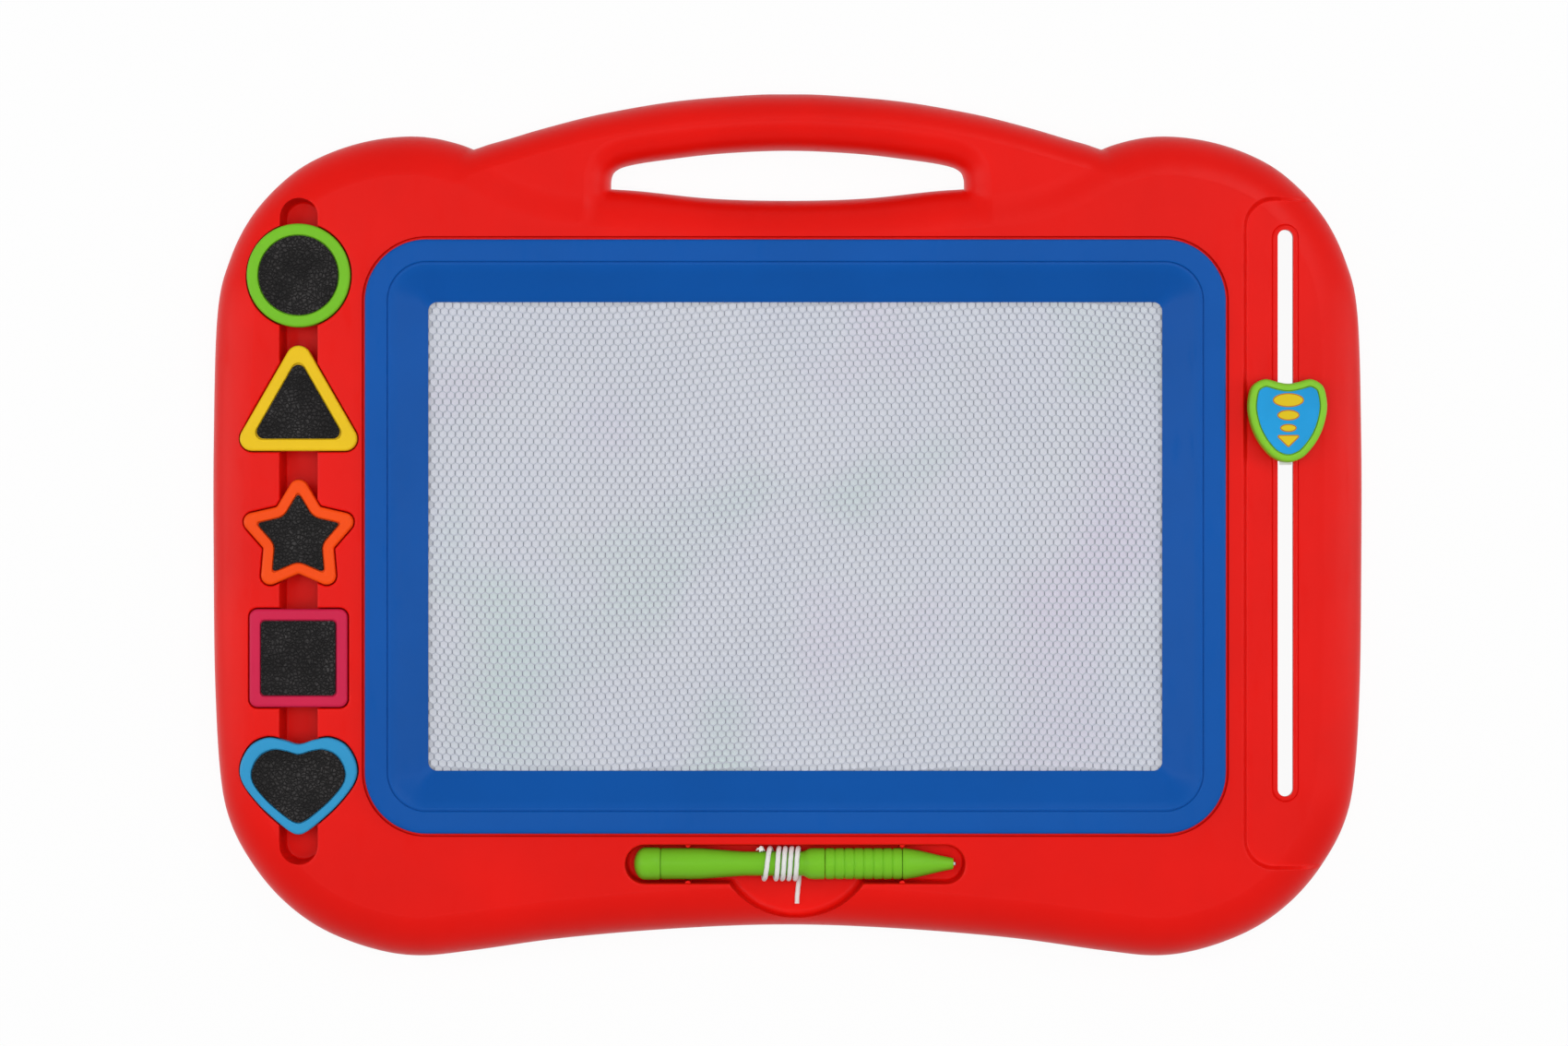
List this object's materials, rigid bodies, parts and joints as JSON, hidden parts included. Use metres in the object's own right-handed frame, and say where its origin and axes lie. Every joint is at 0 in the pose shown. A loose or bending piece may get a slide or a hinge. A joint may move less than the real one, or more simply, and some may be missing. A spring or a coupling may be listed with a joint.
{
  "type": "magnetic drawing board",
  "caption": "Magnetic drawing board with a framed screen, sliding eraser, shape stamps in a storage channel, corded pen and carrying handle.",
  "frame": {"origin": "on the surface that the board lies on, under the middle of its outline", "axes": "+X to the right across the board, +Y up the board towards the handle, +Z out of the drawing face"},
  "size_m": [0.42, 0.315, 0.0312],
  "materials": {
    "red_plastic": "satin moulded red",
    "blue_plastic": "satin moulded blue",
    "screen_film": "smooth clear film",
    "honeycomb": "fine honeycomb cells",
    "white_plastic": "smooth white",
    "green_plastic": "glossy moulded green",
    "yellow_plastic": "glossy moulded yellow",
    "orange_plastic": "glossy moulded orange",
    "magenta_plastic": "glossy moulded magenta",
    "sky_plastic": "glossy moulded light blue",
    "label": "printed label",
    "magnet_rubber": "fine leather grain",
    "steel": "plain bright",
    "cord_fibre": "twisted white cord"
  },
  "bodies": {
    "board": {"front_shell": "red_plastic", "back_cover": "red_plastic", "screen_bezel": "blue_plastic", "screen_film": "screen_film", "honeycomb_core": "honeycomb", "screen_backing": "screen_film", "case_screw_01": "steel", "case_screw_02": "steel", "case_screw_03": "steel", "case_screw_04": "steel", "case_screw_05": "steel", "case_screw_06": "steel", "case_screw_07": "steel", "case_screw_08": "steel", "case_screw_09": "steel", "case_screw_10": "steel", "case_screw_11": "steel"},
    "eraser": {"eraser_bar": "white_plastic", "eraser_magnet": "magnet_rubber", "eraser_knob": "green_plastic", "eraser_knob_label": "label", "rear_slider": "white_plastic", "eraser_screw": "steel"},
    "circle_stamp": {"circle_stamp_body": "green_plastic", "circle_stamp_magnet": "magnet_rubber"},
    "triangle_stamp": {"triangle_stamp_body": "yellow_plastic", "triangle_stamp_magnet": "magnet_rubber"},
    "star_stamp": {"star_stamp_body": "orange_plastic", "star_stamp_magnet": "magnet_rubber"},
    "square_stamp": {"square_stamp_body": "magenta_plastic", "square_stamp_magnet": "magnet_rubber"},
    "heart_stamp": {"heart_stamp_body": "sky_plastic", "heart_stamp_magnet": "magnet_rubber"},
    "pen": {"pen_tail_cap": "green_plastic", "pen_barrel": "green_plastic", "pen_grip": "green_plastic", "pen_nose": "green_plastic", "pen_tip": "steel", "cord_winding": "cord_fibre", "cord_tail": "cord_fibre"}
  },
  "joints": [
    {"name": "eraser_slide", "type": "slide", "parent": "board", "child": "eraser", "axis": [0, 1, 0], "range_m": [-0.128, 0.0615]},
    {"name": "circle_stamp_lift", "type": "slide", "parent": "board", "child": "circle_stamp", "axis": [0, 0, 1], "range_m": [0, 0.03]},
    {"name": "triangle_stamp_lift", "type": "slide", "parent": "board", "child": "triangle_stamp", "axis": [0, 0, 1], "range_m": [0, 0.03]},
    {"name": "star_stamp_lift", "type": "slide", "parent": "board", "child": "star_stamp", "axis": [0, 0, 1], "range_m": [0, 0.03]},
    {"name": "square_stamp_lift", "type": "slide", "parent": "board", "child": "square_stamp", "axis": [0, 0, 1], "range_m": [0, 0.03]},
    {"name": "heart_stamp_lift", "type": "slide", "parent": "board", "child": "heart_stamp", "axis": [0, 0, 1], "range_m": [0, 0.03]},
    {"name": "pen_lift", "type": "slide", "parent": "board", "child": "pen", "axis": [0, 0, 1], "range_m": [0, 0.02]}
  ]
}
